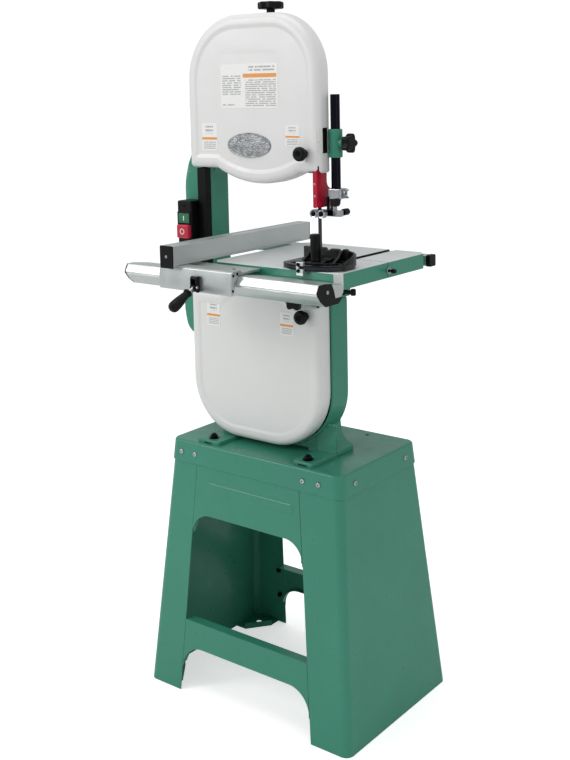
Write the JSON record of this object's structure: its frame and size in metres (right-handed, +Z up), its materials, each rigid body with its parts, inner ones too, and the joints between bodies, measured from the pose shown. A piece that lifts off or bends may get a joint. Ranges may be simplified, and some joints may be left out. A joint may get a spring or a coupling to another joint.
{
  "type": "band saw",
  "caption": "Floor-standing vertical band saw with sheet-metal stand, cast frame, hinged wheel covers, tilting table, sliding fence and miter gauge.",
  "frame": {"origin": "centre of the overall box on the floor plane under the stand", "axes": "+X to the operator's right along the table rails, -Y towards the operator, +Z up"},
  "size_m": [0.6616, 0.6942, 1.7144],
  "materials": {
    "green": "gloss, light orange peel",
    "white": "satin",
    "black": "fine texture",
    "red": "gloss",
    "button_green": "gloss",
    "aluminium": "satin extrusion",
    "iron": "ground",
    "casting": "as cast",
    "rubber": "matte",
    "steel": "turned",
    "dark_steel": "blacked",
    "dark_paint": "satin"
  },
  "bodies": {
    "frame": {"stand_top": "green", "stand_side_left": "green", "stand_side_right": "green", "stand_front_panel": "green", "stand_rear_panel": "green", "stand_front_bar": "green", "stand_rear_bar": "green", "lower_frame": "green", "upper_frame": "green", "drive_belt": "rubber", "saw_blade": "steel", "motor": "dark_paint", "blade_channel": "black", "switch_box": "black", "trunnion_bracket": "green", "lower_guide_bracket": "steel"},
    "upper_door": {"upper_cover": "white"},
    "upper_door_knob": {"upper_cover_knob": "black"},
    "lower_door": {"lower_cover": "white"},
    "lower_door_knob": {"lower_cover_knob": "black"},
    "lower_wheel_set": {"lower_wheel": "casting", "lower_tyre": "rubber", "lower_shaft": "steel"},
    "upper_wheel_set": {"upper_wheel": "casting", "upper_tyre": "rubber"},
    "motor_pulley": {"motor_pulley": "steel"},
    "wheel_slide": {"wheel_slide": "casting", "tension_spring": "steel"},
    "tension_knob": {"tension_knob": "black"},
    "tracking_knob": {"tracking_knob": "black"},
    "start_button": {"start_button": "button_green"},
    "stop_paddle": {"stop_paddle": "red"},
    "guide_post": {"guide_post": "dark_steel", "blade_guard": "red", "guide_clamp": "steel"},
    "guide_bearing_left": {"guide_bearing_left": "steel"},
    "guide_bearing_right": {"guide_bearing_right": "steel"},
    "thrust_bearing": {"thrust_bearing": "steel"},
    "guide_adjust_knob": {"guide_adjust_knob": "black"},
    "clamp_screw": {"clamp_screw": "steel"},
    "post_lock_knob": {"post_lock_knob": "black"},
    "trunnion_knob": {"trunnion_knob": "black"},
    "lower_bearing_left": {"lower_bearing_left": "steel"},
    "lower_bearing_right": {"lower_bearing_right": "steel"},
    "table": {"table": "iron", "table_insert": "aluminium", "front_trunnion": "casting", "rear_trunnion": "casting", "front_rail": "aluminium", "rear_rail": "aluminium"},
    "table_pin": {"table_pin": "steel"},
    "fence": {"fence_carriage": "aluminium", "fence_beam": "aluminium", "fence_end_cap": "black", "fence_lock_block": "black"},
    "fence_lock_handle": {"fence_lock_handle": "black"},
    "miter_bar": {"miter_bar": "steel"},
    "miter_head": {"miter_head": "dark_paint"},
    "miter_handle": {"miter_handle": "black"},
    "table_lock_lever": {"table_lock_lever": "black"}
  },
  "joints": [
    {"name": "upper_door_hinge", "type": "hinge", "parent": "frame", "child": "upper_door", "pos_m": [-0.26778, 0.03362, 1.4258], "axis": [0, 0, -1], "range_deg": [0, 100]},
    {"name": "upper_door_knob_turn", "type": "hinge", "parent": "upper_door", "child": "upper_door_knob", "pos_m": [0.10922, -0.00588, 1.3598], "axis": [0, 1, 0], "range_deg": [0, 90]},
    {"name": "lower_door_hinge", "type": "hinge", "parent": "frame", "child": "lower_door", "pos_m": [-0.26778, 0.03362, 0.8808], "axis": [0, 0, -1], "range_deg": [0, 100]},
    {"name": "lower_door_knob_turn", "type": "hinge", "parent": "lower_door", "child": "lower_door_knob", "pos_m": [0.10322, -0.00588, 0.9798], "axis": [0, 1, 0], "range_deg": [0, 90]},
    {"name": "lower_wheel_spin", "type": "hinge", "parent": "frame", "child": "lower_wheel_set", "pos_m": [-0.04638, 0.02412, 0.8558], "axis": [0, 1, 0], "continuous": true},
    {"name": "upper_wheel_spin", "type": "hinge", "parent": "wheel_slide", "child": "upper_wheel_set", "pos_m": [-0.04638, 0.02412, 1.4838], "axis": [0, 1, 0], "continuous": true},
    {"name": "motor_pulley_spin", "type": "hinge", "parent": "frame", "child": "motor_pulley", "pos_m": [-0.14978, 0.14912, 0.7598], "axis": [0, 1, 0], "continuous": true},
    {"name": "tension_screw_turn", "type": "hinge", "parent": "frame", "child": "tension_knob", "pos_m": [-0.04638, 0.08012, 1.6898], "axis": [0, 0, 1], "range_deg": [-2400, 0]},
    {"name": "wheel_tension_slide", "type": "slide", "parent": "frame", "child": "wheel_slide", "axis": [0, 0, 1], "range_m": [-0.01, 0], "deforming": ["tension_spring"]},
    {"name": "tracking_knob_turn", "type": "hinge", "parent": "wheel_slide", "child": "tracking_knob", "pos_m": [-0.04638, 0.12412, 1.4618], "axis": [0, 1, 0], "range_deg": [-180, 180]},
    {"name": "guide_post_slide", "type": "slide", "parent": "frame", "child": "guide_post", "axis": [0, 0, 1], "range_m": [-0.075, 0.055]},
    {"name": "post_lock_turn", "type": "hinge", "parent": "frame", "child": "post_lock_knob", "pos_m": [0.19722, 0.04212, 1.3828], "axis": [1, 0, 0], "range_deg": [-270, 0]},
    {"name": "guide_bearing_left_spin", "type": "hinge", "parent": "guide_post", "child": "guide_bearing_left", "pos_m": [0.12108, 0.01712, 1.2208], "axis": [0, 1, 0], "continuous": true},
    {"name": "guide_bearing_right_spin", "type": "hinge", "parent": "guide_post", "child": "guide_bearing_right", "pos_m": [0.14288, 0.01712, 1.2208], "axis": [0, 1, 0], "continuous": true},
    {"name": "thrust_bearing_spin", "type": "hinge", "parent": "guide_post", "child": "thrust_bearing", "pos_m": [0.13198, 0.03612, 1.2208], "axis": [0, 1, 0], "continuous": true},
    {"name": "guide_adjust_turn", "type": "hinge", "parent": "guide_post", "child": "guide_adjust_knob", "pos_m": [0.16598, 0.07412, 1.2208], "axis": [0, 1, 0], "range_deg": [-180, 180]},
    {"name": "clamp_screw_turn", "type": "hinge", "parent": "guide_post", "child": "clamp_screw", "pos_m": [0.18722, 0.04212, 1.2678], "axis": [1, 0, 0], "range_deg": [-180, 0]},
    {"name": "table_tilt", "type": "hinge", "parent": "frame", "child": "table", "pos_m": [0.13198, 0.02312, 1.1198], "axis": [0, 1, 0], "range_deg": [-8, 32]},
    {"name": "trunnion_knob_turn", "type": "hinge", "parent": "frame", "child": "trunnion_knob", "pos_m": [0.13598, -0.08588, 1.0378], "axis": [0, 1, 0], "range_deg": [0, 270]},
    {"name": "lower_bearing_left_spin", "type": "hinge", "parent": "frame", "child": "lower_bearing_left", "pos_m": [0.12108, 0.01712, 1.0628], "axis": [0, 1, 0], "continuous": true},
    {"name": "lower_bearing_right_spin", "type": "hinge", "parent": "frame", "child": "lower_bearing_right", "pos_m": [0.14288, 0.01712, 1.0628], "axis": [0, 1, 0], "continuous": true},
    {"name": "table_pin_pull", "type": "slide", "parent": "table", "child": "table_pin", "axis": [1, 0, 0], "range_m": [0, 0.03]},
    {"name": "table_lock_lever_turn", "type": "hinge", "parent": "table", "child": "table_lock_lever", "pos_m": [0.28222, -0.10588, 1.0748], "axis": [0, 0, 1], "range_deg": [-60, 0]},
    {"name": "fence_slide", "type": "slide", "parent": "table", "child": "fence", "axis": [1, 0, 0], "range_m": [-0.09, 0.1]},
    {"name": "fence_lock_lift", "type": "hinge", "parent": "fence", "child": "fence_lock_handle", "pos_m": [0.00072, -0.27088, 1.0808], "axis": [-1, 0, 0], "range_deg": [0, 70]},
    {"name": "miter_slide", "type": "slide", "parent": "table", "child": "miter_bar", "axis": [0, 1, 0], "range_m": [-0.08, 0.15]},
    {"name": "miter_swivel", "type": "hinge", "parent": "miter_bar", "child": "miter_head", "pos_m": [0.21622, -0.05588, 1.1238], "axis": [0, 0, 1], "range_deg": [-45, 45]},
    {"name": "miter_handle_turn", "type": "hinge", "parent": "miter_head", "child": "miter_handle", "pos_m": [0.21622, -0.10988, 1.1598], "axis": [0, 0, 1], "range_deg": [0, 180]},
    {"name": "start_button_press", "type": "slide", "parent": "frame", "child": "start_button", "axis": [0, 1, 0], "range_m": [0, 0.003]},
    {"name": "stop_paddle_press", "type": "slide", "parent": "frame", "child": "stop_paddle", "axis": [0, 1, 0], "range_m": [0, 0.003]}
  ],
  "couplings": [
    {"joint": "upper_wheel_spin", "follows": "lower_wheel_spin", "ratio": 1},
    {"joint": "motor_pulley_spin", "follows": "lower_wheel_spin", "ratio": 1.9375},
    {"joint": "tension_screw_turn", "follows": "wheel_tension_slide", "rad_per_m": 4188.8}
  ]
}
